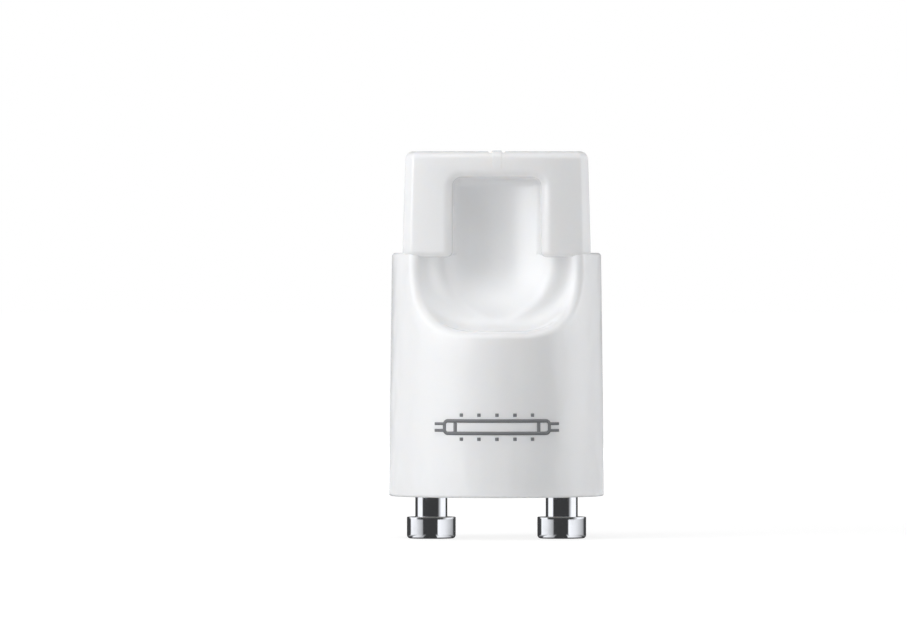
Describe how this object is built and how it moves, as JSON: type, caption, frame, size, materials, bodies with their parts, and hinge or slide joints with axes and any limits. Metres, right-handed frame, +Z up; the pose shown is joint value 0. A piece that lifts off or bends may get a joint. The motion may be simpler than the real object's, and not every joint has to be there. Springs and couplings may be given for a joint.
{
  "type": "fluorescent starter",
  "caption": "Glow starter for a fluorescent lamp: a tapered plastic can with a scooped grip on top and headed contact pins below.",
  "frame": {"origin": "midway between the two contact pins, at the height of their lower ends", "axes": "+Z up from the pins to the grip, +X from the left pin to the right pin seen from the front, -Y towards the front"},
  "size_m": [0.021, 0.021, 0.0377],
  "materials": {
    "housing_plastic": "smooth white moulding with a soft sheen",
    "base_plastic": "matt off-white moulding",
    "pin_metal": "bright nickel plate",
    "lamp_glass": "clear",
    "electrode_wire": "drawn wire",
    "bimetal": "rolled strip",
    "capacitor_case": "dipped coating",
    "tinned_wire": "tinned",
    "sleeving": "thin insulating tube",
    "solder": "bright solder"
  },
  "bodies": {
    "root": {"housing": "housing_plastic", "base_plate": "base_plastic", "contact_pin_left": "pin_metal", "contact_pin_right": "pin_metal", "glow_lamp_glass": "lamp_glass", "fixed_electrode": "electrode_wire", "bimetal_post": "electrode_wire", "bimetal_strip": "bimetal", "lead_sleeve_left": "sleeving", "lead_sleeve_right": "sleeving", "capacitor": "capacitor_case", "capacitor_lead_left": "tinned_wire", "capacitor_lead_right": "tinned_wire", "solder_left": "solder", "solder_right": "solder"}
  },
  "joints": []
}
